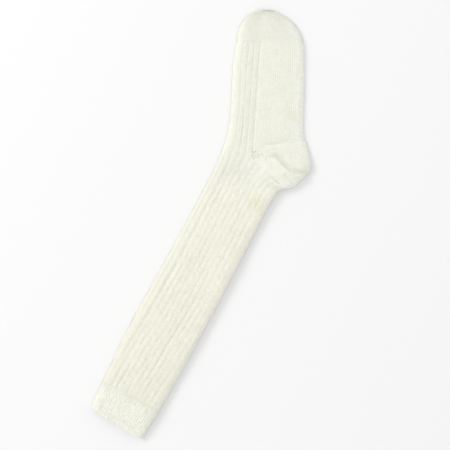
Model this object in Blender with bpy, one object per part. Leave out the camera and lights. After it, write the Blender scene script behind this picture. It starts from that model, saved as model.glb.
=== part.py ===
# Wool knee sock, lying flat on its side.
#
# The sock is one flattened tube. Its plan is drawn from the heel's inner corner, the point where leg,
# heel and foot meet: the leg runs down from it along -Y, the foot runs up from it, turned towards -X,
# and the heel's pocket opens towards +X. Every cross-section is a flat oval with a rounded fold at the
# front and at the back, and it stands on the floor at z = 0.
import math

import bmesh
import bpy
import numpy as np

# Sizes in metres
LEG_LENGTH = 0.387
LEG_WIDTH = 0.0950
CUFF_HEIGHT = 0.045
FOOT_LENGTH = 0.167
FOOT_WIDTH = 0.1066
TOE_LENGTH = 0.0465
HEEL_DEPTH = 0.087
ANKLE_REACH = 0.0450
ANKLE_BLEND = 0.065
LAY_HEIGHT = 0.0120
TOP_CROWN = 0.0008
WALL = 0.0022
SEAM_GAP = 0.0004
RIB_DEPTH = 0.0010
CUFF_RIB_DEPTH = 0.0007
GORE_DEPTH = 0.0013
GORE_WIDTH = 0.0050

# Turns of the foot and of the heel's two seams, seen from above
FOOT_TURN = math.radians(24.0)
HEEL_DROP = math.radians(14.5)
HEEL_OPENING = math.radians(33.7)

# Ribs around the whole leg, and on one face from the front fold to the heel's inner corner
RIB_COUNT = 24
INSTEP_RIBS = 5
CUFF_RIBS_PER_RIB = 2
RIB_LAND = 0.4

# Rows of faces along each section, and steps around a plain one
LEG_ROWS = 14
CUFF_ROWS = 3
FOOT_ROWS = 9
TOE_ROWS = 8
HEEL_ROWS = 14
TOE_STEPS = 8
FOLD_STEPS = 3

# Steps over a plain flat, as shares of its way from the inner corner to the fold
FLAT_STOPS = (0.0, 0.04, 0.12, 0.25, 0.40, 0.55, 0.70, 0.85, 1.0)

# Leg: share of LEG_LENGTH from the ankle down; front and back edges as shares of LEG_WIDTH
LEG_SHAPE = np.array([
    # down, front, back
    (0.00, -0.432, 0.548),
    (0.14, -0.433, 0.554),
    (0.21, -0.435, 0.558),
    (0.40, -0.447, 0.560),
    (0.59, -0.468, 0.556),
    (0.74, -0.480, 0.543),
    (0.89, -0.477, 0.530),
    (1.00, -0.461, 0.511),
])

# Cuff: share of CUFF_HEIGHT from the leg down; edges as shares of LEG_WIDTH
CUFF_SHAPE = np.array([
    # down, front, back
    (0.00, -0.461, 0.511),
    (0.50, -0.452, 0.498),
    (1.00, -0.438, 0.479),
])

# Foot: share of FOOT_LENGTH from the ankle on; edges and sole line as shares of FOOT_WIDTH
FOOT_SHAPE = np.array([
    # along, instep edge, sole line, sole edge
    (0.00, -0.330, 0.000, 0.663),
    (0.31, -0.330, 0.004, 0.662),
    (0.49, -0.329, 0.010, 0.662),
    (0.66, -0.332, 0.012, 0.650),
    (0.83, -0.330, 0.015, 0.632),
    (1.00, -0.300, 0.020, 0.615),
])

# Toe: share of TOE_LENGTH from the foot on; edges as shares of FOOT_WIDTH, height of LAY_HEIGHT
TOE_SHAPE = np.array([
    # along, front edge, back edge, height
    (0.00, -0.300, 0.615, 1.00),
    (0.36, -0.281, 0.556, 1.00),
    (0.54, -0.258, 0.507, 0.99),
    (0.70, -0.215, 0.450, 0.95),
    (0.84, -0.146, 0.370, 0.82),
    (0.94, -0.060, 0.280, 0.56),
    (1.00, 0.030, 0.200, 0.04),
])

# Heel outline: share of the heel's spread from the leg's seam on; reach as a share of HEEL_DEPTH
HEEL_OUTLINE = np.array([
    # turn, reach
    (0.00, 0.798),
    (0.12, 0.876),
    (0.30, 0.958),
    (0.45, 1.000),
    (0.60, 0.992),
    (0.75, 0.962),
    (0.88, 0.936),
    (1.00, 0.935),
])

# Heel lines: share of the way out from the inner corner; side bow as a share of HEEL_DEPTH
GORE_TURN = 0.46
HEEL_BOW = np.array([
    # out, leg seam, gore, sole seam
    (0.00, 0.000, 0.000, 0.000),
    (0.13, -0.016, 0.055, 0.075),
    (0.30, -0.030, 0.092, 0.118),
    (0.42, -0.038, 0.098, 0.100),
    (0.54, -0.040, 0.010, 0.080),
    (0.70, -0.034, -0.070, 0.055),
    (0.85, -0.020, -0.068, 0.025),
    (1.00, 0.000, 0.000, 0.000),
])

KNITS = {
    # piece: colour, roughness
    "cuff": ((0.871, 0.871, 0.775, 1.0), 0.95),
    "leg": ((0.863, 0.863, 0.767, 1.0), 0.95),
    "heel": ((0.879, 0.879, 0.791, 1.0), 0.92),
    "instep": ((0.863, 0.871, 0.775, 1.0), 0.95),
    "sole": ((0.855, 0.863, 0.767, 1.0), 0.92),
    "toe": ((0.855, 0.863, 0.767, 1.0), 0.92),
}


def clear_scene():
    for old in list(bpy.data.objects):
        bpy.data.objects.remove(old, do_unlink=True)


def read_table(table, share):
    # Smooth curve through a table's rows, read at one share of its first column
    at = table[:, 0]
    slopes = np.gradient(table, at, axis=0)
    low = int(np.clip(np.searchsorted(at, share, side="right") - 1, 0, len(at) - 2))
    span = at[low + 1] - at[low]
    t = (share - at[low]) / span
    start = (1 + 2 * t) * (1 - t) ** 2
    leave = t * (1 - t) ** 2
    arrive = -(t ** 2) * (1 - t)
    row = start * table[low] + (1 - start) * table[low + 1]
    return (row + span * (leave * slopes[low] + arrive * slopes[low + 1]))[1:]


def foot_point(along, across):
    # Plan point from distances along the foot and across it
    x = -along * math.sin(FOOT_TURN) + across * math.cos(FOOT_TURN)
    y = along * math.cos(FOOT_TURN) + across * math.sin(FOOT_TURN)
    return np.array((x, y))


def heel_bow(turn, out):
    leg_seam, gore, sole_seam = read_table(HEEL_BOW, out)
    return np.interp(turn, (0.0, GORE_TURN, 1.0), (leg_seam, gore, sole_seam)) * HEEL_DEPTH


def heel_reach(turn):
    return read_table(HEEL_OUTLINE, turn)[0] * HEEL_DEPTH


def heel_point(turn, out):
    # Plan point on the heel: turn from the leg's seam to the sole's, out from the inner corner
    angle = -HEEL_DROP + turn * (FOOT_TURN + HEEL_OPENING)
    away = np.array((math.cos(angle), math.sin(angle)))
    aside = np.array((-away[1], away[0]))
    return away * out * heel_reach(turn) + aside * heel_bow(turn, out)


def ankle_front():
    # The front fold's point at the ankle, half way between the leg's and the foot's direction
    half = FOOT_TURN / 2
    return -ANKLE_REACH * np.array((math.cos(half), math.sin(half)))


def seam_curve(turn):
    # Way from the inner corner to the back fold, along the heel's seam at this turn
    return lambda share: heel_point(turn, share)


def straight(start, end):
    return lambda share: start + (end - start) * share


def cross_section(front, corner, back, top=1.0, seam=None, blend=0.0):
    # A flat oval over the way front, corner, back; near the ankle the back half follows a seam
    direct = straight(corner, back)

    def back_way(share):
        if seam is None:
            return direct(share)
        bowed = seam(share) - straight(seam(0.0), seam(1.0))(share)
        return direct(share) + bowed * blend

    height = LAY_HEIGHT * top
    first = float(np.linalg.norm(corner - front))
    second = float(np.linalg.norm(back - corner))
    half = first + second + height * (math.pi / 2 - 1)
    return {
        "front_way": straight(front, corner),
        "back_way": back_way,
        "first": first,
        "second": second,
        "height": height,
        "half": half,
        "corner_arc": first + height * (math.pi / 4 - 0.5),
    }


def rounded_fold(arc, height):
    # Distance in from the fold, height over the middle, and slope angle, at an arc from the fold
    radius = height / 2
    angle = min(arc / radius, math.pi / 2)
    past = max(0.0, arc - radius * math.pi / 2)
    return radius * (1 - math.cos(angle)) + past, radius * math.sin(angle), angle


def knit_point(section, arc, depth):
    # Point of the outer surface, at an arc from the front fold over the top, sunk by a depth
    half = section["half"]
    upper = arc <= half
    reach = arc if upper else 2 * half - arc
    width = section["first"] + section["second"]
    from_fold = min(reach, half - reach)
    inward, rise, angle = rounded_fold(from_fold, section["height"])
    inward += depth * math.cos(angle)
    rise -= depth * math.sin(angle)
    distance = inward if reach < half / 2 else width - inward
    if distance < section["first"]:
        x, y = section["front_way"](distance / section["first"])
    else:
        x, y = section["back_way"]((distance - section["first"]) / section["second"])
    crown = TOP_CROWN * math.sin(math.pi * distance / width) * math.sin(angle)
    middle = LAY_HEIGHT / 2
    z = middle + rise + crown if upper else middle - rise
    return (x, y, z)


def rib_arc(section, rib):
    # Arc of a rib's number: even on each side of the heel's inner corner, and the same below
    half_ribs = RIB_COUNT / 2
    upper = rib if rib <= half_ribs else RIB_COUNT - rib
    marks = (0, INSTEP_RIBS, half_ribs)
    arc = np.interp(upper, marks, (0.0, section["corner_arc"], section["half"]))
    return arc if rib <= half_ribs else 2 * section["half"] - arc


def rib_steps(first, last):
    # Rib numbers with depths: each rib is a flat land between two grooves
    steps = []
    for rib in range(first, last):
        steps.append((rib, RIB_DEPTH))
        steps.append((rib + 0.5 - RIB_LAND / 2, 0.0))
        steps.append((rib + 0.5 + RIB_LAND / 2, 0.0))
    return steps


def leg_section(down):
    # Section of the leg at a distance down from the ankle, where it meets heel and foot
    front, back = read_table(LEG_SHAPE, down / LEG_LENGTH) * LEG_WIDTH
    bend = max(0.0, 1 - down / ANKLE_BLEND) ** 2
    width = back - front
    even = width * INSTEP_RIBS * 2 / RIB_COUNT
    ankle, heel = ankle_front(), heel_point(0.0, 1.0)
    drop = np.array((0.0, -down))
    front_point = (1 - bend) * np.array((front, 0.0)) + bend * ankle + drop
    corner_point = (1 - bend) * np.array((front + even, 0.0)) + drop
    back_point = (1 - bend) * np.array((back, 0.0)) + bend * heel + drop
    return cross_section(front_point, corner_point, back_point, seam=seam_curve(0.0), blend=bend)


def cuff_section(down):
    front, back = read_table(CUFF_SHAPE, down / CUFF_HEIGHT) * LEG_WIDTH
    y = -LEG_LENGTH - down
    corner = front + (back - front) * INSTEP_RIBS * 2 / RIB_COUNT
    return cross_section(np.array((front, y)), np.array((corner, y)), np.array((back, y)))


def foot_section(along):
    # Section of the foot at a distance from the ankle, which starts along the heel's other seam
    instep, line, sole = read_table(FOOT_SHAPE, along / FOOT_LENGTH) * FOOT_WIDTH
    bend = max(0.0, 1 - along / ANKLE_BLEND) ** 2
    ankle, heel = ankle_front(), heel_point(1.0, 1.0)
    ahead = foot_point(along, 0.0)
    front_point = (1 - bend) * foot_point(0.0, instep) + bend * ankle + ahead
    corner_point = (1 - bend) * foot_point(0.0, line) + ahead
    back_point = (1 - bend) * foot_point(0.0, sole) + bend * heel + ahead
    return cross_section(front_point, corner_point, back_point, seam=seam_curve(1.0), blend=bend)


def toe_section(along):
    front, back, top = read_table(TOE_SHAPE, along / TOE_LENGTH)
    start = FOOT_LENGTH + along
    middle = (front + back) / 2 * FOOT_WIDTH
    return cross_section(
        foot_point(start, front * FOOT_WIDTH), foot_point(start, middle),
        foot_point(start, back * FOOT_WIDTH), top=top)


def even_stops(length, rows, skip):
    return [skip + (length - 2 * skip) * row / rows for row in range(rows + 1)]


def fold_arcs(height):
    quarter = math.pi * height / 4
    return [quarter * step / FOLD_STEPS for step in range(FOLD_STEPS)]


def plain_arcs(start, half, height):
    # Arcs of a plain stretch: over the top flat, round the back fold and back along the floor
    quarter = math.pi * height / 4
    flat = [start + (half - quarter - start) * share for share in FLAT_STOPS]
    bend = [half - arc for arc in reversed(fold_arcs(height))]
    upper = flat + bend
    return upper + [2 * half - arc for arc in reversed(upper[:-1])]


def whole_ring_arcs(half, height):
    # Arcs of a plain ring, from the front fold over the top and back along the floor
    quarter = math.pi * height / 4
    flat = [quarter + (half - 2 * quarter) * step / TOE_STEPS for step in range(TOE_STEPS + 1)]
    upper = fold_arcs(height) + flat + [half - arc for arc in reversed(fold_arcs(height))]
    return upper + [2 * half - arc for arc in reversed(upper[1:-1])]


def leg_rows(sunk):
    steps = rib_steps(0, RIB_COUNT)
    rows = []
    for down in reversed(even_stops(LEG_LENGTH, LEG_ROWS, SEAM_GAP / 2)):
        section = leg_section(down)
        rows.append([knit_point(section, rib_arc(section, rib), sunk + depth) for rib, depth in steps])
    return rows


def cuff_rows(sunk):
    rows = []
    for down in reversed(even_stops(CUFF_HEIGHT, CUFF_ROWS, SEAM_GAP / 2)):
        section = cuff_section(down)
        row = []
        for half_step in range(RIB_COUNT * CUFF_RIBS_PER_RIB * 2):
            rib = half_step / (CUFF_RIBS_PER_RIB * 2)
            depth = 0.0 if half_step % 2 else CUFF_RIB_DEPTH
            row.append(knit_point(section, rib_arc(section, rib), sunk + depth))
        rows.append(row)
    return rows


def instep_rows(sunk):
    # The ribbed half of the foot, from the sole line below, round the front fold, to the one on top
    steps = rib_steps(-INSTEP_RIBS, INSTEP_RIBS) + [(INSTEP_RIBS, RIB_DEPTH)]
    rows = []
    for along in even_stops(FOOT_LENGTH, FOOT_ROWS, SEAM_GAP / 2):
        section = foot_section(along)
        edge = section["corner_arc"] - SEAM_GAP / 2
        row = []
        for rib, depth in steps:
            arc = edge * abs(rib) / INSTEP_RIBS
            arc = arc if rib >= 0 else 2 * section["half"] - arc
            row.append(knit_point(section, arc, sunk + depth))
        rows.append(row)
    return rows


def sole_rows(sunk):
    rows = []
    for along in even_stops(FOOT_LENGTH, FOOT_ROWS, SEAM_GAP / 2):
        section = foot_section(along)
        arcs = plain_arcs(section["corner_arc"], section["half"], section["height"])
        arcs[0] += SEAM_GAP / 2
        arcs[-1] -= SEAM_GAP / 2
        rows.append([knit_point(section, arc, sunk) for arc in arcs])
    return rows


def toe_rows(sunk):
    # Both skins close in a line at the tip, and the inner one stops short by the wall
    rows = []
    for row in range(TOE_ROWS + 1):
        share = math.sin(math.pi / 2 * row / TOE_ROWS)
        along = SEAM_GAP / 2 + (TOE_LENGTH - SEAM_GAP / 2 - sunk) * share
        section = toe_section(along)
        arcs = whole_ring_arcs(section["half"], section["height"])
        depth = sunk * section["height"] / LAY_HEIGHT
        rows.append([knit_point(section, arc, depth) for arc in arcs])
    return rows


def heel_rows(sunk):
    # Spokes from the heel's inner corner over the top, round the back fold and back below
    rows = []
    for row in range(HEEL_ROWS + 1):
        turn = row / HEEL_ROWS
        reach = heel_reach(turn)
        half = reach + LAY_HEIGHT * (math.pi / 4 - 0.5)
        # The pocket's point is cut off at the first stop, so that it stays wider than the seam
        arcs = plain_arcs(0.0, half, LAY_HEIGHT)[1:-1]
        rows.append([heel_knit_point(turn, arc, half, reach, sunk) for arc in arcs])
    return rows


def heel_knit_point(turn, arc, half, reach, sunk):
    upper = arc <= half
    from_fold = half - arc if upper else arc - half
    inward, rise, angle = rounded_fold(from_fold, LAY_HEIGHT)
    out = (reach - inward) / reach
    # The gore is a crease that deepens away from the inner corner
    from_gore = (turn - GORE_TURN) * (FOOT_TURN + HEEL_OPENING) * reach * out
    crease = GORE_DEPTH * math.exp(-(from_gore / GORE_WIDTH) ** 2) * min(1.0, out * 4)
    inward += (crease + sunk) * math.cos(angle)
    rise -= (crease + sunk) * math.sin(angle)
    x, y = heel_point(turn, (reach - inward) / reach) + heel_clearance(turn)
    middle = LAY_HEIGHT / 2
    crown = TOP_CROWN * math.sin(angle)
    return (x, y, middle + rise + crown * (1 - out) if upper else middle - rise)


def heel_clearance(turn):
    # Half the seam's gap, away from the leg on one side and from the sole on the other
    from_leg = np.array((0.0, SEAM_GAP / 2))
    return from_leg * (1 - turn) - foot_point(SEAM_GAP / 2, 0.0) * turn


def knit_material(piece):
    colour, roughness = KNITS[piece]
    material = bpy.data.materials.new(piece + "_wool")
    material.use_nodes = True
    shader = material.node_tree.nodes["Principled BSDF"]
    shader.inputs["Base Color"].default_value = colour
    shader.inputs["Roughness"].default_value = roughness
    shader.inputs["Metallic"].default_value = 0.0
    return material


def add_skin(mesh, rows, ring, closed_end):
    # One skin of a knit: its vertices row by row, with the faces between them
    grid = []
    for row in rows:
        grid.append([mesh.verts.new(point) for point in row])
    count = len(grid[0])
    if closed_end:
        last = grid[-1]
        for column in range(count // 2 + 1, count):
            mesh.verts.remove(last[column])
            last[column] = last[count - column]
    add_strips(mesh, grid, ring)
    return grid


def add_strips(mesh, grid, ring=False):
    # Faces between each line of vertices and the next
    for lower, upper in zip(grid, grid[1:]):
        count = len(lower)
        for column in range(count if ring else count - 1):
            after = (column + 1) % count
            mesh.faces.new((lower[column], lower[after], upper[after], upper[column]))


def knit_piece(piece, make_rows, ring=False, closed_end=False):
    # Loft an outer and an inner skin through the sections, one wall apart, and join their edges
    mesh = bmesh.new()
    outer = add_skin(mesh, make_rows(0.0), ring, closed_end)
    inner = add_skin(mesh, make_rows(WALL), ring, closed_end)
    add_strips(mesh, (outer[0], inner[0]), ring)
    if not closed_end:
        add_strips(mesh, (outer[-1], inner[-1]), ring)
    if not ring:
        for side in (0, -1):
            outer_side = [row[side] for row in outer]
            inner_side = [row[side] for row in inner]
            add_strips(mesh, (outer_side, inner_side))
    bmesh.ops.recalc_face_normals(mesh, faces=mesh.faces)
    data = bpy.data.meshes.new(piece)
    mesh.to_mesh(data)
    mesh.free()
    data.materials.append(knit_material(piece))
    data.shade_smooth()
    data.set_sharp_from_angle(angle=math.radians(40.0))
    return bpy.data.objects.new(piece, data)


def build_sock():
    clear_scene()
    collection = bpy.data.collections.new("knee_sock")
    bpy.context.scene.collection.children.link(collection)
    pieces = [
        knit_piece("cuff", cuff_rows, ring=True),
        knit_piece("leg", leg_rows, ring=True),
        knit_piece("heel", heel_rows),
        knit_piece("instep", instep_rows),
        knit_piece("sole", sole_rows),
        knit_piece("toe", toe_rows, ring=True, closed_end=True),
    ]
    corners = np.array([vertex.co[:] for knit in pieces for vertex in knit.data.vertices])
    middle = (corners.min(axis=0) + corners.max(axis=0)) / 2
    # The root stands at the middle of the sock's outline, on the floor
    root = bpy.data.objects.new("knee_sock_root", None)
    root.location = (-middle[0], -middle[1], 0.0)
    collection.objects.link(root)
    for knit in pieces:
        collection.objects.link(knit)
        knit.parent = root


build_sock()
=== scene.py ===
import math

import bpy
import numpy as np
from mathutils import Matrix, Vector


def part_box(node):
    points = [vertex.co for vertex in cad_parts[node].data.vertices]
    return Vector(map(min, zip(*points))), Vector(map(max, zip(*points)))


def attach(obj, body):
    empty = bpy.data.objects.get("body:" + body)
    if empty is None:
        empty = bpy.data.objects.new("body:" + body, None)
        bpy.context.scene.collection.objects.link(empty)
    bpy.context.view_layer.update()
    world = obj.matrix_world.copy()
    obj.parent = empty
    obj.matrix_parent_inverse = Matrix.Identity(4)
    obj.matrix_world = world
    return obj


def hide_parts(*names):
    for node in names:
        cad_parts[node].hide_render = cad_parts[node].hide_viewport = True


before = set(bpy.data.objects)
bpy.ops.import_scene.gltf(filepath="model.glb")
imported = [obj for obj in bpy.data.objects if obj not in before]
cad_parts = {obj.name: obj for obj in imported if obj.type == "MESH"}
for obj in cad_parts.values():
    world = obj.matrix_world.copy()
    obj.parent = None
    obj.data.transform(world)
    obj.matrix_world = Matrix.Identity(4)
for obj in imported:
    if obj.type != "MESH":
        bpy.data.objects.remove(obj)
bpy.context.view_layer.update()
print("frame loaded:", sorted(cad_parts))

# Sizes of the whole sock, in metres. Lying down it is a flat tube with a rounded fold at each side.
sock = {
    "ribs": 24,               # wide ribs round the leg
    "cornerRib": 5,           # ribs on one face from the front fold to the heel's inner corner
    "walesPerRib": 4,         # three knit columns and one sunk purl column
    "courseHeight": 0.00145,  # one row of stitches, coarser than the real ones so that it shows
    "height": 0.0120,         # thickness as it lies
    "crown": 0.0010,          # how much the top face swells
    "crownReach": 0.014,      # how fast it swells in from a fold
    # share of the thickness that is missing at a fold, and how far in; at the back for leg and foot
    "frontThin": 0.62, "frontReach": 0.0050, "backThin": (0.38, 0.64), "backReach": (0.0050, 0.0105),
    "frontShare": 0.3, "frontFade": 0.4,  # shares of the width: where the front's press ends, how softly
    "foldDrop": 0.0011,       # a well pressed fold lies close on the floor
    "dropFrom": 0.30, "dropFade": 0.30,   # share pressed from which it drops, and over how much more
    "wall": 0.0019,           # thickness of the knit
    "deepest": 0.0011,        # no rib's groove goes deeper into it
    "turn": math.radians(24.0),  # foot turned from the leg
    "ankleReach": 0.0450,     # front fold to the heel's inner corner
    "ankleBlend": 0.065,      # stretch over which the knit bends round the ankle
    "settle": 0.030,          # stretch from a seam over which the ribs find their places
    # lumps of the top face, and how much smaller and flatter the finer ones are
    "unevenSize": 0.050, "uneven": 0.0007, "finerBy": 2.3, "finerShare": 0.4,
    "weld": 0.000005,         # points of the ring nearer than this are one
    "floorGap": 0.00002,      # lowest that any point lies
    "smoothAngle": math.radians(65),  # only the lips and seams are sharper
    "seed": 11,
}
halfRibs = sock["ribs"] / 2   # ribs on one face


# Curves and noise

def readTable(rows, share):
    # smooth curve through a table's rows, read at many shares at once
    table = np.array(rows, dtype=float)
    at = table[:, 0]
    slopes = np.gradient(table, at, axis=0)
    share = np.clip(np.asarray(share, dtype=float), 0.0, 1.0)
    low = np.clip(np.searchsorted(at, share, side="right") - 1, 0, len(at) - 2)
    span = (at[low + 1] - at[low])[:, None]
    t = (share - at[low])[:, None] / span
    start = (1 + 2 * t) * (1 - t) ** 2
    row = start * table[low] + (1 - start) * table[low + 1]
    row = row + span * (t * (1 - t) ** 2 * slopes[low] - t * t * (1 - t) * slopes[low + 1])
    return row[:, 1:].T


def softNoise(x, y, seed):
    # smooth noise between -1 and 1, one lump per unit
    size = 64
    grid = np.random.default_rng(sock["seed"] + seed).uniform(-1, 1, (size, size))
    x0, y0 = np.floor(x).astype(int), np.floor(y).astype(int)
    fx, fy = x - x0, y - y0
    fx, fy = fx * fx * (3 - 2 * fx), fy * fy * (3 - 2 * fy)
    low = grid[x0 % size, y0 % size] * (1 - fx) + grid[(x0 + 1) % size, y0 % size] * fx
    high = grid[x0 % size, (y0 + 1) % size] * (1 - fx) + grid[(x0 + 1) % size, (y0 + 1) % size] * fx
    return low * (1 - fy) + high * fy


def easeOut(value, reach):
    # 0 at the start, 1 from the reach on
    t = np.clip(value / reach, 0, 1)
    return t * t * (3 - 2 * t)


def flatPoints(x, y):
    x, y = np.broadcast_arrays(np.asarray(x, dtype=float), np.asarray(y, dtype=float))
    return np.stack([x, y], axis=-1)


def lengthOf(vectors):
    return np.sqrt((vectors ** 2).sum(axis=-1))


# The flat tube, seen from above and measured from the heel's inner corner

# where the front fold turns from the leg to the foot
anklePoint = -sock["ankleReach"] * np.array([math.cos(sock["turn"] / 2), math.sin(sock["turn"] / 2)])


def ankleBend(distance):
    # how much of the bend round the ankle is left at a distance from the heel's inner corner
    return (np.clip(1 - distance / sock["ankleBlend"], 0, 1) ** 2)[:, None]


def cornerShare(front, back):
    # how far from one fold to the other the inner corner's rib runs
    return front + (back - front) * sock["cornerRib"] * 2 / sock["ribs"]


def overFold(fromFold, height):
    # how far in from a fold a point lies, and how high over the middle of the tube
    radius = height / 2
    angle = np.minimum(fromFold / radius, math.pi / 2)
    inward = radius * (1 - np.cos(angle)) + np.maximum(0, fromFold - radius * math.pi / 2)
    return inward, radius * np.sin(angle), np.sin(angle)


def pressedBack(inward, turn):
    # the back fold is full at the leg, turn 0, and flatter at the sole, turn 1
    thin = sock["backThin"][0] + (sock["backThin"][1] - sock["backThin"][0]) * turn
    reach = sock["backReach"][0] + (sock["backReach"][1] - sock["backReach"][0]) * turn
    return thin * np.exp(-inward / reach)


def tubePlace(way, rib, height):
    # points of the flat tube: rib 0 at the front fold, half way at the back fold, then back below
    frontFold, corner, backFold, seamTurn, bend = way
    first, second = lengthOf(corner - frontFold), lengthOf(backFold - corner)
    width = first + second
    half = width + height * (math.pi / 2 - 1)
    cornerArc = first + height * (math.pi / 4 - 0.5)
    rib = np.mod(rib, sock["ribs"])
    upper = np.where(rib <= halfRibs, rib, sock["ribs"] - rib)
    side = np.where(rib <= halfRibs, 1.0, -1.0)
    share = upper / sock["cornerRib"]
    rest = (upper - sock["cornerRib"]) / (halfRibs - sock["cornerRib"])
    arc = np.where(share <= 1, cornerArc * share, cornerArc + (half - cornerArc) * rest)
    inward, rise, flat = overFold(np.minimum(arc, half - arc), height)
    distance = np.where(arc < half / 2, inward, width - inward)
    after = np.clip((distance - first) / second, 0, 1)
    onFront = frontFold + (corner - frontFold) * (distance / first)[:, None]
    bowed = heelPoint(seamTurn, after) - after[:, None] * heelPoint(seamTurn, 1.0)
    onBack = corner + (backFold - corner) * ((distance - first) / second)[:, None] + bowed * bend
    xy = np.where((distance < first)[:, None], onFront, onBack)
    # the knit was pressed thin at its folds, least at the back of the leg
    front = 1 - easeOut(distance - sock["frontShare"] * width, sock["frontFade"] * width)
    pressed = sock["frontThin"] * np.exp(-inward / sock["frontReach"]) * front
    pressed += pressedBack(inward, seamTurn) * (1 - front)
    # painted shade on the leg's front fold and in a band beside it; a painted highlight along the edge of
    # every front fold, and painted light on the sole's fold and the back of the ankle
    atFoot = np.maximum(bend[:, 0], seamTurn)
    paintedLight = wool["foldShade"] * (1 - easeOut(distance - wool["foldShadeFrom"], wool["foldShadeReach"]))
    paintedLight += wool["bandShade"] * np.exp(-((distance - wool["bandAt"]) / wool["bandReach"]) ** 2)
    paintedLight = paintedLight * (1 - atFoot) - wool["edgeHighlight"] * np.exp(-distance / wool["edgeReach"])
    paintedLight -= (1 - easeOut(width - distance, wool["foldLightReach"])) * atFoot
    return xy, side, rise, flat, inward, pressed, paintedLight


def liftPlan(xy, side, rise, flat, inward, pressed):
    # thin at the folds; the top face swells and lies unevenly, the bottom face lies on the floor
    swell = sock["crown"] * (1 - np.exp(-inward / sock["crownReach"])) * flat
    x, y = xy[:, 0] / sock["unevenSize"], xy[:, 1] / sock["unevenSize"]
    finer = softNoise(x * sock["finerBy"], y * sock["finerBy"], seed=6)
    lumps = sock["uneven"] * softNoise(x, y, seed=5) * flat
    lumps += sock["finerShare"] * sock["uneven"] * finer * flat
    z = (1 - pressed) * (sock["height"] / 2 + side * rise)
    z = np.maximum(z - sock["foldDrop"] * easeOut(pressed - sock["dropFrom"], sock["dropFade"]), 0.0)
    z += np.where(side > 0, swell + lumps + creaseDrop(xy) * flat, 0.0)
    return np.column_stack([xy + innerCorner, z])


# Sheets of knit

def deselectAll():
    if bpy.context.object and bpy.context.object.mode != "OBJECT":
        bpy.ops.object.mode_set(mode="OBJECT")
    bpy.ops.object.select_all(action="DESELECT")


def newSheet(name, piece):
    # a flat grid of stitches; every point gets its share across, u, and along, v
    deselectAll()
    bpy.ops.mesh.primitive_grid_add(
        x_subdivisions=piece["columns"], y_subdivisions=piece["rows"], size=1, location=(0, 0, 0))
    sheet = bpy.context.object
    sheet.name = name
    sheet.data.name = name
    at = pointsOf(sheet) + 0.5
    return sheet, at[:, 0], at[:, 1]


def pointsOf(sheet, kind="co"):
    points = np.zeros(len(sheet.data.vertices) * 3)
    sheet.data.vertices.foreach_get(kind, points)
    return points.reshape(-1, 3)


def setPoints(sheet, points):
    sheet.data.vertices.foreach_set("co", np.ascontiguousarray(points, dtype=np.float32).ravel())
    sheet.data.update()


def setStitches(sheet, wale, course):
    # the knit's own map: one unit for each stitch, wales across and courses along
    loops = np.zeros(len(sheet.data.loops), dtype=np.int32)
    sheet.data.loops.foreach_get("vertex_index", loops)
    layer = sheet.data.uv_layers.active or sheet.data.uv_layers.new()
    layer.name = "stitches"
    uv = np.column_stack([wale[loops], course[loops]])
    layer.data.foreach_set("uv", uv.astype(np.float32).ravel())


def finishKnit(sheet, points, relief, paintedLight, node):
    # wrap the sheet, close its ring, give it its wall, then press the stitches into the outer skin
    setPoints(sheet, points)
    for name, values in (("relief", relief), ("paintedLight", paintedLight)):
        layer = sheet.data.attributes.new(name, "FLOAT", "POINT")
        layer.data.foreach_set("value", values.astype(np.float32))
    deselectAll()
    sheet.select_set(True)
    bpy.context.view_layer.objects.active = sheet
    bpy.ops.object.mode_set(mode="EDIT")
    bpy.ops.mesh.select_all(action="SELECT")
    bpy.ops.mesh.remove_doubles(threshold=sock["weld"])
    bpy.ops.object.mode_set(mode="OBJECT")
    outward = pointsOf(sheet, "normal")
    count = len(outward)
    wall = sheet.modifiers.new("wall", "SOLIDIFY")
    wall.thickness = sock["wall"]
    wall.offset = -1  # inwards
    wall.use_even_offset = False
    bpy.ops.object.modifier_apply(modifier=wall.name)
    sunk = np.zeros(len(sheet.data.vertices), dtype=np.float32)
    sheet.data.attributes["relief"].data.foreach_get("value", sunk)
    closed = pointsOf(sheet)
    closed[:count] += outward * sunk[:count, None]
    closed[:, 2] = np.maximum(closed[:, 2], sock["floorGap"])
    setPoints(sheet, closed)
    bpy.ops.object.shade_smooth_by_angle(angle=sock["smoothAngle"])
    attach(sheet, "root")
    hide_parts(node)
    print(node, "knitted:", len(sheet.data.polygons), "faces")
    return sheet


def ribGroove(rib, width):
    # how near a point is to the middle of a sunk purl column; the width is in stitches
    return np.exp(-(np.abs(rib - np.round(rib)) * sock["walesPerRib"] / width) ** 2)


yarn = {
    # uneven stitches: stitches across, rows along, share of the whole, step of the seed
    "lumps": [(1.7, 1.7, 1.0, 0), (3.1, 2.6, 1.4, 20), (1.1, 9.0, 0.6, 40)],
    # wandering ribs: ribs to either side, waves to a rib, length of a wave in metres, step of the seed
    "wander": [(0.13, 0.35, 0.045, 0), (0.05, 0.9, 0.014, 1), (0.045, 1.3, 0.0042, 2)],
}


def yarnLumps(wale, course, amount, seed):
    # stitches are never quite the same size
    lumps = 0.0
    for across, along, share, step in yarn["lumps"]:
        lumps = lumps + share * softNoise(wale / across, course / along, seed + step)
    return amount * lumps


def grooveStrength(rib, along, piece):
    # no groove is equally deep all along
    strength = 1.0
    for gain, length, perRib, apart, seed in piece["grooveLumps"]:
        strength = strength + gain * softNoise(np.round(perRib * rib) * apart, along / length, seed)
    return strength


def ribWander(rib, along, seed):
    # ribs never run quite straight; at the folds they stay put
    middle = np.abs(np.sin(math.pi * rib / halfRibs))
    sway = 0.0
    for ribs, waves, length, step in yarn["wander"]:
        sway = sway + ribs * softNoise(rib * waves, along / length, seed + step)
    return middle * sway


# The heel

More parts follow.
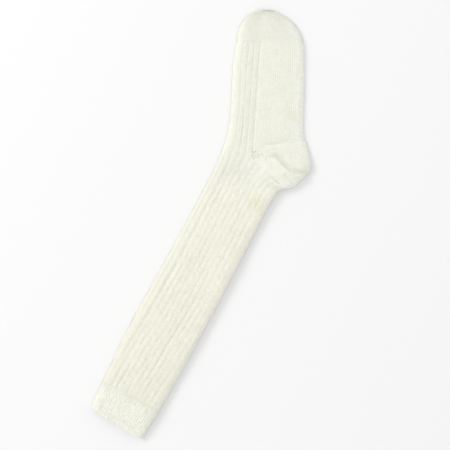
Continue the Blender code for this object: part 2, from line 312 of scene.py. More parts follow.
heel = {
    "depth": 0.087, "drop": math.radians(14.5), "opening": math.radians(33.7), "goreTurn": 0.46,
    "columns": 200, "rows": 130, "waleDepth": 0.00020, "wales": 50, "rowsRound": 55, "yarn": 0.00012,
    # shares of the way out from the corner: where the stitches have faded in, where rows stop narrowing
    "cornerFade": 0.08, "leastOut": 0.05,
    "gorePaintedLightCut": 0.8,  # how much less painted light the fold gets at the gore than at the seams
    # share of the spread from the leg's seam; reach as a share of the depth
    "outline": [
        (0.00, 0.796), (0.12, 0.850), (0.22, 0.884), (0.32, 0.914), (0.38, 0.944), (0.44, 0.988),
        (0.50, 1.000), (0.60, 0.992), (0.75, 0.962), (0.88, 0.936), (1.00, 0.935),
    ],
    # share of the way out; side bow of the leg's seam, the gore and the sole's seam, shares of the depth
    "bow": [
        (0.00, 0.000, 0.000, 0.000), (0.13, -0.016, 0.055, 0.075), (0.30, -0.030, 0.092, 0.118),
        (0.42, -0.038, 0.098, 0.100), (0.54, -0.040, 0.010, 0.080), (0.70, -0.034, -0.070, 0.055),
        (0.85, -0.020, -0.068, 0.025), (1.00, 0.000, 0.000, 0.000),
    ],
    # painted shade in a crease and a painted highlight on its roll, for each metre down, and how much of it
    # is pressed into the wall
    "creasePaintedLight": 140.0, "creaseRelief": 0.15,
    # a crease starts and ends past its path and fades in and out, in shares of its length
    "creasePast": 0.03, "creaseStart": 0.25, "creaseEnd": 0.15,
    # the roll below it: middle and reach in lower reaches of the crease, height as a share of its depth
    "rollAt": 2.2, "rollReach": 1.2, "rollHeight": 0.30,
    # middle of a patch of painted light, from the inner corner, its reach, and how much lighter it is
    # painted
    "stretched": ((0.0170, -0.0190), 0.022, 0.62),
    # creases by their points, across and along the foot from the inner corner, in metres
    "creases": [
        {"depth": 0.0032, "above": 0.0046, "below": 0.0025, "path": [
            (0.024, 0.0010), (0.035, 0.0020), (0.043, -0.003), (0.0495, -0.010), (0.0565, -0.0155),
            (0.065, -0.0195), (0.075, -0.0200), (0.086, -0.0175)]},
        {"depth": 0.0010, "above": 0.0034, "below": 0.0018, "path": [
            (0.047, -0.022), (0.055, -0.028), (0.063, -0.035)]},
        {"depth": 0.0010, "above": 0.0032, "below": 0.0018, "path": [
            (0.029, -0.029), (0.038, -0.033), (0.045, -0.038)]},
        {"depth": 0.0007, "above": 0.0034, "below": 0.0018, "path": [
            (0.016, 0.0175), (0.025, 0.0190), (0.036, 0.0205), (0.050, 0.0235)]},
    ],
    # holes that the turned stitches leave beside the inner corner
    "eyelets": [
        (0.0010, 0.0070), (0.0046, 0.0074), (0.0084, 0.0066), (0.0028, 0.0040), (0.0064, 0.0044),
        (0.0100, 0.0036), (0.0138, 0.0046), (0.0012, 0.0010), (0.0048, 0.0012), (0.0086, 0.0006),
        (0.0122, 0.0014), (0.0160, 0.0020), (0.0032, -0.0020), (0.0068, -0.0018), (0.0104, -0.0022),
        (0.0205, 0.0008), (0.0262, 0.0014),
    ],
    "eyeletDepth": 0.0014, "eyeletReach": 0.0011,
    "eyeletLimit": 0.85,  # deepest, as a share of the wall
}


def heelPoint(turn, out):
    # turn runs from the leg's seam, 0, over the gore to the sole's seam, 1; out from the inner corner
    turn, out = np.broadcast_arrays(np.asarray(turn, dtype=float), np.asarray(out, dtype=float))
    turn, out = np.atleast_1d(turn), np.atleast_1d(out)
    angle = -heel["drop"] + turn * (sock["turn"] + heel["opening"])
    reach = readTable(heel["outline"], turn)[0] * heel["depth"]
    legBow, goreBow, soleBow = readTable(heel["bow"], out)
    before = np.clip(turn / heel["goreTurn"], 0, 1)
    after = np.clip((turn - heel["goreTurn"]) / (1 - heel["goreTurn"]), 0, 1)
    upper = turn >= heel["goreTurn"]
    bow = np.where(upper, goreBow + (soleBow - goreBow) * after, legBow + (goreBow - legBow) * before)
    bow = bow * heel["depth"]
    cos, sin = np.cos(angle), np.sin(angle)
    return flatPoints(cos * out * reach - sin * bow, sin * out * reach + cos * bow)


def footFrame(xy):
    # across and along the foot, from the inner corner
    cos, sin = math.cos(sock["turn"]), math.sin(sock["turn"])
    return xy[:, 0] * cos + xy[:, 1] * sin, -xy[:, 0] * sin + xy[:, 1] * cos


def creaseDrop(xy):
    # how far the creases of the turned heel push the knit down, and the soft roll below each of them
    across, along = footFrame(xy)
    drop = np.zeros(len(xy))
    for crease in heel["creases"]:
        path = np.array(crease["path"])
        steps = np.diff(path, axis=0)
        spans = lengthOf(steps)
        nearest, share, above = np.full(len(xy), np.inf), np.zeros(len(xy)), np.zeros(len(xy), dtype=bool)
        for index, (start, step, span) in enumerate(zip(path, steps, spans)):
            dx, dy = across - start[0], along - start[1]
            t = np.clip((dx * step[0] + dy * step[1]) / span ** 2, 0, 1)
            gap = np.hypot(dx - t * step[0], dy - t * step[1])
            closer = gap < nearest
            share = np.where(closer, (spans[:index].sum() + t * span) / spans.sum(), share)
            above = np.where(closer, step[0] * dy - step[1] * dx > 0, above)
            nearest = np.minimum(nearest, gap)
        fade = easeOut(share + heel["creasePast"], heel["creaseStart"])
        fade = fade * easeOut(1 + heel["creasePast"] - share, heel["creaseEnd"])
        reach = np.where(above, crease["above"], crease["below"])
        drop -= crease["depth"] * fade * np.exp(-(nearest / reach) ** 2)
        rollAt, rollReach = heel["rollAt"] * crease["below"], heel["rollReach"] * crease["below"]
        roll = np.exp(-((nearest - rollAt) / rollReach) ** 2)
        drop += heel["rollHeight"] * crease["depth"] * fade * np.where(above, 0.0, roll)
    return drop


def eyeletRelief(xy):
    # round holes, pressed nearly through the wall
    across, along = footFrame(xy)
    relief = np.zeros(len(xy))
    for x, y in heel["eyelets"]:
        gap = np.hypot(across - x, along - y)
        relief -= heel["eyeletDepth"] * np.exp(-(gap / heel["eyeletReach"]) ** 2)
    return np.maximum(relief, -heel["eyeletLimit"] * sock["wall"])


def addHeelMarks(xy, side, relief, paintedLight):
    # eyelets on both faces; painted shade at the bottom of the top face's creases and a painted highlight on
    # the roll, and a patch of painted light below the inner corner on both
    drop = creaseDrop(xy) * (side > 0)
    (x, y), reach, pale = heel["stretched"]
    paintedLight = paintedLight - pale * np.exp(-((xy[:, 0] - x) ** 2 + (xy[:, 1] - y) ** 2) / reach ** 2)
    return relief + eyeletRelief(xy) + heel["creaseRelief"] * drop, paintedLight - heel["creasePaintedLight"] * drop


def makeHeel():
    sheet, u, v = newSheet("heelKnit", heel)
    reach = readTable(heel["outline"], v)[0] * heel["depth"]
    half = reach + sock["height"] * (math.pi / 4 - 0.5)
    arc = u * 2 * half
    side = np.where(arc <= half, 1.0, -1.0)
    inward, rise, flat = overFold(np.abs(half - arc), sock["height"])
    out = np.clip((reach - inward) / reach, 0, 1)
    xy = heelPoint(v, out)
    wale = u * heel["wales"]
    spread = sock["turn"] + heel["opening"]
    fromSeam = np.minimum(v, 1 - v) * spread * reach * np.maximum(out, heel["leastOut"])
    setStitches(sheet, wale + 0.5, fromSeam / sock["courseHeight"])
    relief = heel["waleDepth"] * np.cos(2 * math.pi * wale)
    relief += yarnLumps(wale, v * heel["rowsRound"], heel["yarn"], seed=36)
    # painted light on the heel's folds, less at the gore
    paintedLight = (easeOut(inward, wool["foldLightReach"]) - 1) * (1 - heel["gorePaintedLightCut"] * np.sin(math.pi * v))
    relief, paintedLight = addHeelMarks(xy, side, relief * easeOut(out, heel["cornerFade"]), paintedLight)
    points = liftPlan(xy, side, rise, flat, inward, pressedBack(inward, v))
    return finishKnit(sheet, points, relief, paintedLight, "heel")


# The leg

leg = {
    "length": 0.387, "width": 0.0950, "columns": 192, "rows": 250,
    "ribDepth": 0.00044, "grooveWidth": 0.80, "waleDepth": 0.00018, "yarn": 0.00013,
    "ribSqueeze": 0.075, "squeezePower": 6,  # how much the ribs crowd in mid-face, and how near to the folds
    # how a groove's depth changes along it: gain, length of a lump, lumps to a rib, their spread, seed
    "grooveLumps": [(0.35, 0.034, 1, 3.7, 3), (0.60, 0.0038, 1, 5.1, 7)],
    # share of the length down from the ankle; front and back edge as shares of the width
    "edges": [
        (0.00, -0.432, 0.550), (0.14, -0.433, 0.564), (0.21, -0.435, 0.570), (0.40, -0.447, 0.572),
        (0.59, -0.468, 0.568), (0.74, -0.480, 0.554), (0.89, -0.477, 0.538), (1.00, -0.461, 0.517),
    ],
    # metres below the heel's seam; how much of its turn to the heel the back fold still has, with a kink
    "kink": [
        (0.000, 1.00), (0.011, 0.64), (0.019, 0.37), (0.0235, 0.265), (0.029, 0.215), (0.042, 0.11),
        (0.062, 0.02), (0.080, 0.00), (0.100, 0.00), (1.000, 0.00),
    ],
    # share of the length; ribs that the tube is twisted by as it lies
    "twist": [
        (0.00, 0.00), (0.30, 0.02), (0.57, 0.00), (0.67, -0.10), (0.72, -0.22), (0.78, -0.42),
        (0.88, -0.66), (0.93, -0.92), (1.00, -1.02),
    ],
    # grooves that lie deeper for a stretch: rib, share down, reach as a share, gain
    "deep": [
        (1, 0.15, 0.18, 1.2), (1, 0.50, 0.20, 1.2), (1, 0.85, 0.15, 1.0),
        (2, 0.08, 0.07, 0.7), (3, 0.16, 0.10, 0.5), (2, 0.55, 0.12, 1.6), (3, 0.50, 0.06, 0.7),
        (2, 0.83, 0.06, 1.5), (3, 0.92, 0.06, 0.8), (4, 0.74, 0.06, 0.7), (4, 0.96, 0.06, 1.6),
        (8, 0.65, 0.07, 1.0), (8, 0.83, 0.08, 1.5), (9, 0.66, 0.05, 0.8), (6, 0.93, 0.05, 0.6),
    ],
}


def legWay(down):
    # front fold, corner, back fold, seam of the heel that the way runs beside, and how much of it
    front, back = readTable(leg["edges"], down / leg["length"]) * leg["width"]
    bend = ankleBend(down)
    kink = readTable(leg["kink"], down)[0][:, None]
    drop = flatPoints(0.0, -down)
    return (
        (1 - bend) * flatPoints(front, 0.0) + bend * anklePoint + drop,
        (1 - bend) * flatPoints(cornerShare(front, back), 0.0) + drop,
        (1 - kink) * flatPoints(back, 0.0) + kink * heelPoint(0.0, 1.0) + drop,
        0.0, bend,
    )


def makeLeg():
    sheet, u, v = newSheet("legKnit", leg)
    down = leg["length"] * (1 - v)
    rib = u * sock["ribs"]
    lain = rib + readTable(leg["twist"], down / leg["length"])[0]
    quarter = halfRibs / 2
    off = np.mod(lain, halfRibs) - quarter
    settle = easeOut(down, sock["settle"])
    lain = lain - leg["ribSqueeze"] * off * (1 - np.abs(off / quarter) ** leg["squeezePower"]) * settle
    lain = lain + ribWander(lain, down, seed=21) * settle
    xy, side, rise, flat, inward, pressed, paintedLight = tubePlace(legWay(down), lain, sock["height"])
    setStitches(sheet, rib * sock["walesPerRib"] + 0.5, (leg["length"] - down) / sock["courseHeight"])
    strength = grooveStrength(rib, down, leg)
    for number, share, reach, gain in leg["deep"]:
        on = np.abs(rib - number) < 0.5
        strength += np.where(on, gain * np.exp(-((down / leg["length"] - share) / reach) ** 2), 0.0)
    relief = -leg["ribDepth"] * strength * ribGroove(rib, leg["grooveWidth"])
    relief += leg["waleDepth"] * np.cos(2 * math.pi * rib * sock["walesPerRib"])
    relief += yarnLumps(rib * sock["walesPerRib"], down / sock["courseHeight"], leg["yarn"], seed=31)
    relief = np.maximum(relief, -sock["deepest"])
    relief, paintedLight = addHeelMarks(xy, side, relief, paintedLight)
    points = liftPlan(xy, side, rise, flat, inward, pressed)
    return finishKnit(sheet, points, relief, paintedLight, "leg")


# The cuff

cuff = {
    "height": 0.045, "columns": 464, "rows": 62, "wales": 116,
    # height of the fine ribs, of the stitches that checker them, and of the yarn's lumps
    "ribDepth": 0.00052, "checks": 0.00050, "yarn": 0.00026,
    # the free end: its slant across, how that grows, the line that it turns on; its sway and waves to a rib
    "slant": 0.095, "slantPower": 1.5, "slantAt": -0.022, "sway": 0.0008, "swayWaves": 0.55,
    # its corners: how much is rounded off, how far in, and over which last share of the height
    "cornerRound": 0.0030, "cornerReach": 0.0035, "cornerShare": 0.4,
    # its lip: share pressed thin, rise of the last rows and over what stretch
    "lipThin": 0.30, "lipRise": 0.0003, "lipReach": 0.0022,
    # share of the folds' painted shade and light that is lost on the cuff, and how soon
    "paintedLightLoss": 0.7, "paintedLightReach": 0.020,
    # share of the height; front and back edge as shares of the leg's width
    "edges": [(0.00, -0.461, 0.517), (0.50, -0.452, 0.502), (1.00, -0.438, 0.481)],
}

# The heel's inner corner is the middle of the plan. It stands where the cuff's frame box puts it.
innerCorner = np.array([
    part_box("cuff")[0].x - cuff["edges"][0][1] * leg["width"],
    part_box("cuff")[0].y + leg["length"] + cuff["height"],
])


def cuffWay(down):
    front, back = readTable(cuff["edges"], down / cuff["height"]) * leg["width"]
    y = -leg["length"] - down
    none = np.zeros((len(down), 1))
    return flatPoints(front, y), flatPoints(cornerShare(front, back), y), flatPoints(back, y), 0.0, none


def makeCuff():
    # the cuff's free end is slanted and a little uneven, with rounded corners and a thinner lip
    sheet, u, v = newSheet("cuffKnit", cuff)
    down = cuff["height"] * (1 - v)
    rib = u * sock["ribs"] + leg["twist"][-1][1]
    xy, side, rise, flat, inward, pressed, paintedLight = tubePlace(cuffWay(down), rib, sock["height"])
    share = down / cuff["height"]
    waves = softNoise(rib * cuff["swayWaves"], np.full(len(rib), 0.5), seed=8)
    xy[:, 1] += share ** 2 * cuff["sway"] * waves
    xy[:, 1] -= share ** cuff["slantPower"] * cuff["slant"] * (xy[:, 0] - cuff["slantAt"])
    last = easeOut(down - (1 - cuff["cornerShare"]) * cuff["height"], cuff["cornerShare"] * cuff["height"])
    xy[:, 1] += last * cuff["cornerRound"] * np.exp(-inward / cuff["cornerReach"])
    pressed += (1 - pressed) * cuff["lipThin"] * share ** 2
    paintedLight *= 1 - cuff["paintedLightLoss"] * easeOut(down, cuff["paintedLightReach"])
    wale = u * cuff["wales"]
    course = (cuff["height"] - down) / sock["courseHeight"]
    setStitches(sheet, wale + 0.5, course)
    relief = 0.5 * cuff["ribDepth"] * np.cos(math.pi * wale)
    relief += cuff["checks"] * np.cos(math.pi * wale) * np.cos(math.pi * course)
    relief += yarnLumps(wale, course, cuff["yarn"], seed=32)
    relief += cuff["lipRise"] * (1 - easeOut(cuff["height"] - down, cuff["lipReach"]))
    points = liftPlan(xy, side, rise, flat, inward, pressed)
    return finishKnit(sheet, points, relief, paintedLight, "cuff")


# The foot

foot = {
    "length": 0.167, "width": 0.1066,
    "seamGroove": 0.8,  # half width of the groove along the sole, in stitches
    # share of the length on from the ankle; instep edge, sole line and sole edge, shares of the width
    "edges": [
        (0.00, -0.330, 0.000, 0.663), (0.31, -0.330, 0.004, 0.662), (0.49, -0.329, 0.010, 0.662),
        (0.66, -0.332, 0.012, 0.650), (0.83, -0.330, 0.015, 0.632), (1.00, -0.300, 0.020, 0.615),
    ],
}


def footPoint(along, across):
    cos, sin = math.cos(sock["turn"]), math.sin(sock["turn"])
    return flatPoints(-along * sin + across * cos, along * cos + across * sin)


def footWay(along):
    front, line, back = readTable(foot["edges"], along / foot["length"]) * foot["width"]
    bend = ankleBend(along)
    ahead = footPoint(along, 0.0)
    return (
        (1 - bend) * footPoint(0.0, front) + bend * anklePoint + ahead,
        (1 - bend) * footPoint(0.0, line) + ahead,
        (1 - bend) * footPoint(0.0, back) + bend * heelPoint(1.0, 1.0) + ahead,
        1.0, bend,
    )


instep = {
    "columns": 140, "rows": 230, "ribDepth": 0.00057, "grooveWidth": 0.62, "waleDepth": 0.00012,
    "middleDepth": 0.00013,  # faint groove half way between two ribs
    "edgeDepth": 0.0007, "yarn": 0.00013,
    # as on the leg; here the middle grooves have lumps of their own
    "grooveLumps": [(0.35, 0.034, 1, 3.7, 4), (0.40, 0.0050, 2, 5.1, 9)],
    "deep": (3, 0.040, 0.022, 0.9),  # a deeper stretch of groove: rib, middle and reach in metres, gain
}


def makeInstep():
    sheet, u, v = newSheet("instepKnit", instep)
    along = foot["length"] * v
    rib = (u * 2 - 1) * sock["cornerRib"]
    free = np.clip(1 - np.abs(rib) / sock["cornerRib"], 0, 1) * easeOut(along, sock["settle"])
    lain = rib + ribWander(rib + halfRibs / 2, along, seed=23) * free
    xy, side, rise, flat, inward, pressed, paintedLight = tubePlace(footWay(along), lain, sock["height"])
    setStitches(sheet, rib * sock["walesPerRib"] + 0.5, along / sock["courseHeight"])
    strength = grooveStrength(rib, along, instep)
    number, middle, reach, gain = instep["deep"]
    on = np.abs(rib - number) < 0.5
    strength += np.where(on, gain * np.exp(-((along - middle) / reach) ** 2), 0.0)
    relief = -instep["ribDepth"] * strength * ribGroove(rib, instep["grooveWidth"])
    relief -= instep["middleDepth"] * strength * ribGroove(rib + 0.5, instep["grooveWidth"])
    edge = (sock["cornerRib"] - np.abs(rib)) * sock["walesPerRib"]
    relief -= (instep["edgeDepth"] - instep["ribDepth"]) * np.exp(-(edge / foot["seamGroove"]) ** 2)
    relief += instep["waleDepth"] * np.cos(2 * math.pi * rib * sock["walesPerRib"])
    relief += yarnLumps(rib * sock["walesPerRib"], along / sock["courseHeight"], instep["yarn"], seed=33)
    relief = np.maximum(relief, -sock["deepest"])
    relief, paintedLight = addHeelMarks(xy, side, relief, paintedLight)
    points = liftPlan(xy, side, rise, flat, inward, pressed)
    return finishKnit(sheet, points, relief, paintedLight, "instep")


sole = {
    "columns": 210, "rows": 220, "wales": 46, "waleDepth": 0.00020, "edgeDepth": 0.0007, "yarn": 0.00012,
    # how much the columns' depth changes, over how many columns and how long a stretch
    "uneven": 0.6, "unevenWales": 2.3, "unevenLength": 0.020,
}


def makeSole():
    sheet, u, v = newSheet("soleKnit", sole)
    along = foot["length"] * v
    rib = sock["cornerRib"] + u * (sock["ribs"] - 2 * sock["cornerRib"])
    xy, side, rise, flat, inward, pressed, paintedLight = tubePlace(footWay(along), rib, sock["height"])
    wale = u * sole["wales"]
    setStitches(sheet, wale + 0.5, along / sock["courseHeight"])
    edge = np.minimum(wale, sole["wales"] - wale)
    relief = -sole["edgeDepth"] * np.exp(-(edge / foot["seamGroove"]) ** 2)
    changes = softNoise(wale / sole["unevenWales"], along / sole["unevenLength"], seed=41)
    uneven = 1 + sole["uneven"] * changes
    relief += sole["waleDepth"] * uneven * np.cos(2 * math.pi * wale)
    relief += yarnLumps(wale, along / sock["courseHeight"], sole["yarn"], seed=34)
    relief, paintedLight = addHeelMarks(xy, side, relief, paintedLight)
    points = liftPlan(xy, side, rise, flat, inward, pressed)
    return finishKnit(sheet, points, relief, paintedLight, "sole")


# The toe

toe = {
    "length": 0.0465, "columns": 192, "rows": 62, "waleDepth": 0.00014, "yarn": 0.00012,
    "line": 0.35,  # where the inner corner's rib runs on, as a share of the width
    "tipFade": 0.08,  # share of the rows before the tip over which the stitches fade
    # share of the length; front edge, back edge as shares of the foot's width; share of the height
    "shape": [
        (0.00, -0.300, 0.615, 1.00), (0.36, -0.281, 0.556, 1.00), (0.54, -0.258, 0.507, 0.99),
        (0.70, -0.215, 0.450, 0.95), (0.84, -0.146, 0.370, 0.82), (0.94, -0.060, 0.280, 0.56),
        (1.00, 0.030, 0.200, 0.04),
    ],
}


def toeWay(along):
    front, back = readTable(toe["shape"], along / toe["length"])[:2] * foot["width"]
    line = front + (back - front) * toe["line"]
    start = foot["length"] + along
    none = np.zeros((len(along), 1))
    return footPoint(start, front), footPoint(start, line), footPoint(start, back), 1.0, none


def makeToe():
    sheet, u, v = newSheet("toeKnit", toe)
    along = toe["length"] * np.sin(math.pi / 2 * v)
    tall = readTable(toe["shape"], along / toe["length"])[2]
    rib = u * sock["ribs"]
    xy, side, rise, flat, inward, pressed, paintedLight = tubePlace(toeWay(along), rib, sock["height"] * tall)
    points = liftPlan(xy, side, rise, flat * tall, inward, pressed)
    points[v > 1 - 0.5 / toe["rows"], 2] = sock["height"] / 2  # the last row closes to a point
    wale = rib * sock["walesPerRib"]
    setStitches(sheet, wale + 0.5, along / sock["courseHeight"])
    relief = toe["waleDepth"] * np.cos(2 * math.pi * wale)
    relief += yarnLumps(wale, along / sock["courseHeight"], toe["yarn"], seed=35)
    return finishKnit(sheet, points, relief * easeOut(1 - v, toe["tipFade"]), paintedLight, "toe")


# Finishes

wool = {
    "ribbed": "#EEEFE3", "warm": "#F8F7E9", "plain": "#EEEFE3", "cuff": "#FBFCF0",
    "shaded": "#DFDECA", "paintedShadeColour": "#DCDCD1", "paintedLightColour": "#FEFFF5", "stain": "#F9F9F0",
    # painted shade on the front fold and in a band beside it, a painted highlight on the fold's edge,
    # painted light on the back folds of foot and ankle; places in metres from the fold
    "foldShade": 0.85, "foldShadeFrom": 0.002, "foldShadeReach": 0.014, "paintedShadeStrength": 0.75,
    "bandShade": 0.42, "bandAt": 0.0140, "bandReach": 0.0030,
    "edgeHighlight": 0.30, "edgeReach": 0.0015, "foldLightReach": 0.024, "paintedLightStrength": 0.90,
    # depths over which painted shade deepens in the knit's hollows, and between which the eyelets get a dark
    # painted shade
    "sinkTo": -0.0016, "sinkShade": 0.35, "pitFrom": -0.0011, "pitTo": -0.0016,
    "roughness": 0.92, "sheen": 0.80, "sheenRoughness": 0.40, "specular": 0.25,
    # the two strands of a stitch: their slant, how much they sink between two rows, painted shade in the
    # gaps
    "strandSlant": 0.6, "strandSink": 0.65, "gapShade": 0.28,
    # lighter and darker: single stitches, streaks of yarn 1.25 stitches by 8 rows, patches 18 mm across
    "singleShade": 0.34, "streakShade": 0.55, "patchShade": 0.45,
    "streakScale": (0.8, 0.12, 1.0), "patchScale": 55.0,
    "fibreScale": 1800.0,  # hairs 0.6 mm apart, coarser than real ones so that they show
    "stitchBump": 0.00032, "stitchStrength": 0.8, "fibreBump": 0.00010, "fibreStrength": 0.6,
    # along the leg from the inner corner: where it is warmer in colour, and where it darkens below
    "warmFrom": -0.029, "warmTo": -0.370, "warmEdge": 0.030, "warmSlant": -0.35,
    "lowerFrom": -0.07, "lowerTo": -0.27, "lowerShade": 0.12,
    # marks on the wool: middle from the inner corner, half lengths, strength
    "stains": [((0.0350, -0.0570), (0.0170, 0.0125), 0.95), ((0.0205, 0.0800), (0.0160, 0.0090), 0.8)],
    "stainRagged": 1.6, "stainEdge": 1.25, "stainMiddle": 0.1,  # raggedness, outer and inner end of its fade
}


def linearColour(text):
    # sRGB hex to the linear values that Blender's sockets take
    channels = [int(text[i:i + 2], 16) / 255 for i in (1, 3, 5)]
    return [c / 12.92 if c <= 0.04045 else ((c + 0.055) / 1.055) ** 2.4 for c in channels] + [1.0]


def addNode(tree, kind, settings=None, inputs=()):
    # one node with its settings; inputs by name or in order, as values, sockets or nodes to link from
    node = tree.nodes.new("ShaderNode" + kind)
    for name, value in (settings or {}).items():
        setattr(node, name, value)
    for key, value in inputs.items() if isinstance(inputs, dict) else enumerate(inputs):
        if isinstance(value, bpy.types.Node):
            value = value.outputs[0]
        if isinstance(value, bpy.types.NodeSocket):
            tree.links.new(value, node.inputs[key])
        else:
            node.inputs[key].default_value = value
    return node


def makeWool(name, mainColour):
    # worsted-spun lambswool, weft knitted: matt and faintly hairy, every stitch a small V of two strands
    material = bpy.data.materials.new(name)
    material.use_nodes = True
    tree = material.node_tree
    shader = tree.nodes["Principled BSDF"]
    shader.inputs["Roughness"].default_value = wool["roughness"]
    shader.inputs["Sheen Weight"].default_value = wool["sheen"]
    shader.inputs["Sheen Roughness"].default_value = wool["sheenRoughness"]
    shader.inputs["Specular IOR Level"].default_value = wool["specular"]

    # stitch pattern from the knit's own map: how far aside of its column's middle, and along its strand
    stitch = addNode(tree, "UVMap", {"uv_map": "stitches"})
    parts = addNode(tree, "SeparateXYZ", None, [stitch])
    column = addNode(tree, "Math", {"operation": "FRACT"}, [parts])
    across = addNode(tree, "Math", {"operation": "MULTIPLY_ADD"}, [column, 2.0, -1.0])
    aside = addNode(tree, "Math", {"operation": "ABSOLUTE"}, [across])
    slant = addNode(tree, "Math", {"operation": "MULTIPLY"}, [aside, wool["strandSlant"]])
    slanted = addNode(tree, "Math", {"operation": "SUBTRACT"}, [parts.outputs[1], slant])
    along = addNode(tree, "Math", {"operation": "MULTIPLY"}, [slanted, math.pi])
    wave = addNode(tree, "Math", {"operation": "SINE"}, [along])
    strand = addNode(tree, "Math", {"operation": "ABSOLUTE"}, [wave])
    sideways = addNode(tree, "Math", {"operation": "MULTIPLY"}, [aside, math.pi])
    legs = addNode(tree, "Math", {"operation": "SINE"}, [sideways])
    raised = addNode(tree, "Math", {"operation": "MULTIPLY_ADD"},
                     [strand, wool["strandSink"], 1 - wool["strandSink"]])
    knit = addNode(tree, "Math", {"operation": "MULTIPLY"}, [raised, legs])

    # every stitch and every length of yarn is a little lighter or darker
    cell = addNode(tree, "VectorMath", {"operation": "FLOOR"}, [stitch])
    single = addNode(tree, "TexWhiteNoise", {"noise_dimensions": "2D"}, {"Vector": cell})
    stretched = addNode(tree, "Mapping", None, {"Vector": stitch, "Scale": wool["streakScale"]})
    streak = addNode(tree, "TexNoise", None,
                     {"Vector": stretched, "Scale": 1.0, "Detail": 2.0, "Roughness": 0.6})
    place = addNode(tree, "TexCoord")
    spot = addNode(tree, "SeparateXYZ", None, [place.outputs["Object"]])
    fibre = addNode(tree, "TexNoise", None, {
        "Vector": place.outputs["Object"], "Scale": wool["fibreScale"], "Detail": 3.0, "Roughness": 0.7})
    patch = addNode(tree, "TexNoise", None, {
        "Vector": place.outputs["Object"], "Scale": wool["patchScale"], "Detail": 4.0, "Roughness": 0.6})

    # painted shade in the gaps between strands, in the hollows and in the eyelets
    relief = addNode(tree, "Attribute", {"attribute_name": "relief"})
    sunk = addNode(tree, "MapRange", None, {
        "Value": relief.outputs["Fac"], "From Min": 0.0, "From Max": wool["sinkTo"],
        "To Min": 0.0, "To Max": wool["sinkShade"]})
    pit = addNode(tree, "MapRange", {"interpolation_type": "SMOOTHSTEP"}, {
        "Value": relief.outputs["Fac"], "From Min": wool["pitFrom"], "From Max": wool["pitTo"]})
    gap = addNode(tree, "Math", {"operation": "SUBTRACT"}, [1.0, knit])
    shade = addNode(tree, "Math", {"operation": "MULTIPLY_ADD"}, [gap, wool["gapShade"], sunk])
    shade = addNode(tree, "Math", {"operation": "ADD"}, [shade, pit])
    for source, amount in ((single.outputs["Value"], wool["singleShade"]),
                           (streak.outputs["Fac"], wool["streakShade"]),
                           (patch.outputs["Fac"], wool["patchShade"])):
        change = addNode(tree, "Math", {"operation": "SUBTRACT"}, [source, 0.5])
        shade = addNode(tree, "Math", {"operation": "MULTIPLY_ADD"}, [change, amount, shade])

    # the leg is a shade warmer than the foot and the cuff, and darker in its lower half
    edge = wool["warmEdge"]
    top, bottom = innerCorner[1] + wool["warmFrom"], innerCorner[1] + wool["warmTo"]
    atAnkle = addNode(tree, "Math", {"operation": "MULTIPLY_ADD"},
                      [spot, wool["warmSlant"], spot.outputs[1]])
    below = addNode(tree, "MapRange", {"interpolation_type": "SMOOTHSTEP"},
                    {"Value": atAnkle, "From Min": top, "From Max": top - edge})
    above = addNode(tree, "MapRange", {"interpolation_type": "SMOOTHSTEP"},
                    {"Value": spot.outputs[1], "From Min": bottom - edge, "From Max": bottom})
    warmth = addNode(tree, "Math", {"operation": "MULTIPLY"}, [below, above])
    lowDown = addNode(tree, "MapRange", None, {
        "Value": spot.outputs[1], "From Min": innerCorner[1] + wool["lowerFrom"],
        "From Max": innerCorner[1] + wool["lowerTo"], "To Min": 0.0, "To Max": wool["lowerShade"]})
    shade = addNode(tree, "Math", {"operation": "MULTIPLY_ADD"}, [lowDown, warmth, shade])
    lower = addNode(tree, "Mix", {"data_type": "RGBA"},
                    {0: above, 6: linearColour(wool["cuff"]), 7: linearColour(wool[mainColour])})
    base = addNode(tree, "Mix", {"data_type": "RGBA"},
                   {0: warmth, 6: lower.outputs[2], 7: linearColour(wool["warm"])})

    # painted shade and painted light on the folds, the heel's creases and the patch below the inner corner
    paintedLight = addNode(tree, "Attribute", {"attribute_name": "paintedLight"})
    shadeShare = addNode(tree, "Math", {"operation": "MULTIPLY"},
                     [paintedLight.outputs["Fac"], wool["paintedShadeStrength"]])
    paintedShadeColour = addNode(tree, "Mix", {"data_type": "RGBA"},
                   {0: shadeShare, 6: base.outputs[2], 7: linearColour(wool["paintedShadeColour"])})
    lightShare = addNode(tree, "Math", {"operation": "MULTIPLY"},
                       [paintedLight.outputs["Fac"], -wool["paintedLightStrength"]])
    paintedLightColour = addNode(tree, "Mix", {"data_type": "RGBA"},
                     {0: lightShare, 6: paintedShadeColour.outputs[2], 7: linearColour(wool["paintedLightColour"])})
    colour = addNode(tree, "Mix", {"data_type": "RGBA"},
                     {0: shade, 6: paintedLightColour.outputs[2], 7: linearColour(wool["shaded"])})

    # old marks: soft patches with a ragged edge
    for (x, y), (longWay, shortWay), strength in wool["stains"]:
        mapped = addNode(tree, "Mapping", {"vector_type": "TEXTURE"}, {
            "Vector": place.outputs["Object"], "Location": (innerCorner[0] + x, innerCorner[1] + y, 0.0),
            "Scale": (longWay, shortWay, 1.0)})
        away = addNode(tree, "VectorMath", {"operation": "LENGTH"}, [mapped])
        rough = addNode(tree, "Math", {"operation": "SUBTRACT"}, [patch.outputs["Fac"], 0.5])
        ragged = addNode(tree, "Math", {"operation": "MULTIPLY_ADD"},
                         [rough, wool["stainRagged"], away.outputs["Value"]])
        mark = addNode(tree, "MapRange", {"interpolation_type": "SMOOTHSTEP"}, {
            "Value": ragged, "From Min": wool["stainEdge"], "From Max": wool["stainMiddle"],
            "To Min": 0.0, "To Max": strength})
        colour = addNode(tree, "Mix", {"data_type": "RGBA", "blend_type": "MULTIPLY"},
                         {0: mark, 6: colour.outputs[2], 7: linearColour(wool["stain"])})
    tree.links.new(colour.outputs[2], shader.inputs["Base Color"])

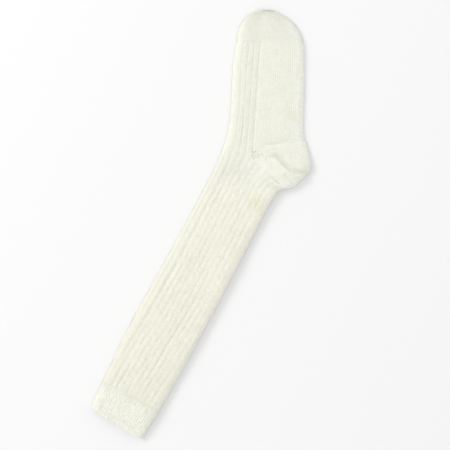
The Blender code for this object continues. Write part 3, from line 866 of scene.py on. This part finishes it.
    stitchBump = addNode(tree, "Bump", None, {
        "Strength": wool["stitchStrength"], "Distance": wool["stitchBump"], "Height": knit})
    fibreBump = addNode(tree, "Bump", None, {
        "Strength": wool["fibreStrength"], "Distance": wool["fibreBump"], "Height": fibre.outputs["Fac"],
        "Normal": stitchBump})
    tree.links.new(fibreBump.outputs[0], shader.inputs["Normal"])
    return material


ribbedWool = makeWool("ribbed lambswool", "ribbed")
plainWool = makeWool("plain lambswool", "plain")

for piece, material in (
    (makeCuff(), ribbedWool), (makeLeg(), ribbedWool), (makeInstep(), ribbedWool),
    (makeSole(), plainWool), (makeHeel(), plainWool), (makeToe(), plainWool),
):
    piece.data.materials.clear()
    piece.data.materials.append(material)
print("pieces dressed")


# Floor, light and camera

studio = {
    "floor": "#EFEFEF", "floorRoughness": 0.9, "floorSize": 12.0, "floorAt": -0.0001,
    "pixel": 0.00145, "photoSize": 450,  # metres to a pixel of the picture, and its pixels across
    "cameraHeight": 1.6, "sensor": 36.0,  # metres above the sock; millimetres
    "roll": math.radians(27.3),          # the leg lies slanted in the picture
    "aim": (0.0104, -0.1056),            # middle of the picture from the heel's inner corner
    "sky": "#FFFFFF", "skyStrength": 0.905, "keyPower": 70.0, "keySize": 1.3,
    "keyPlace": (-3.20, 1.80, 2.40),     # right, up and towards the camera, as the picture shows it
}


def makeStudio():
    deselectAll()
    bpy.ops.mesh.primitive_plane_add(size=studio["floorSize"], location=(0, 0, studio["floorAt"]))
    floor = bpy.context.object
    floor.name = "paperFloor"
    # uncoated white paper: even, without gloss
    paper = bpy.data.materials.new("matt white paper")
    paper.use_nodes = True
    shader = paper.node_tree.nodes["Principled BSDF"]
    shader.inputs["Base Color"].default_value = linearColour(studio["floor"])
    shader.inputs["Roughness"].default_value = studio["floorRoughness"]
    floor.data.materials.append(paper)
    world = bpy.data.worlds.new("pale studio")
    world.use_nodes = True
    world.node_tree.nodes["Background"].inputs[0].default_value = linearColour(studio["sky"])
    world.node_tree.nodes["Background"].inputs[1].default_value = studio["skyStrength"]
    bpy.context.scene.world = world

    aim = Vector((*(innerCorner + np.array(studio["aim"])), 0.0))
    roll = studio["roll"]
    right = Vector((math.cos(roll), math.sin(roll), 0.0))
    upward = Vector((-math.sin(roll), math.cos(roll), 0.0))
    sideways, up, near = studio["keyPlace"]
    keyData = bpy.data.lights.new("softKey", "AREA")
    keyData.energy = studio["keyPower"]
    keyData.size = studio["keySize"]
    key = bpy.data.objects.new("softKey", keyData)
    bpy.context.scene.collection.objects.link(key)
    key.location = aim + right * sideways + upward * up + Vector((0, 0, near))
    key.rotation_euler = (aim - key.location).to_track_quat("-Z", "Y").to_euler()

    cameraData = bpy.data.cameras.new("overhead")
    cameraData.sensor_width = studio["sensor"]
    cameraData.lens = studio["sensor"] * studio["cameraHeight"] / (studio["pixel"] * studio["photoSize"])
    camera = bpy.data.objects.new("overhead", cameraData)
    bpy.context.scene.collection.objects.link(camera)
    camera.location = aim + Vector((0, 0, studio["cameraHeight"] + sock["height"] / 2))
    camera.rotation_euler = (0.0, 0.0, roll)
    bpy.context.scene.camera = camera
    bpy.context.scene.view_settings.view_transform = "Standard"
    print("studio ready")


makeStudio()
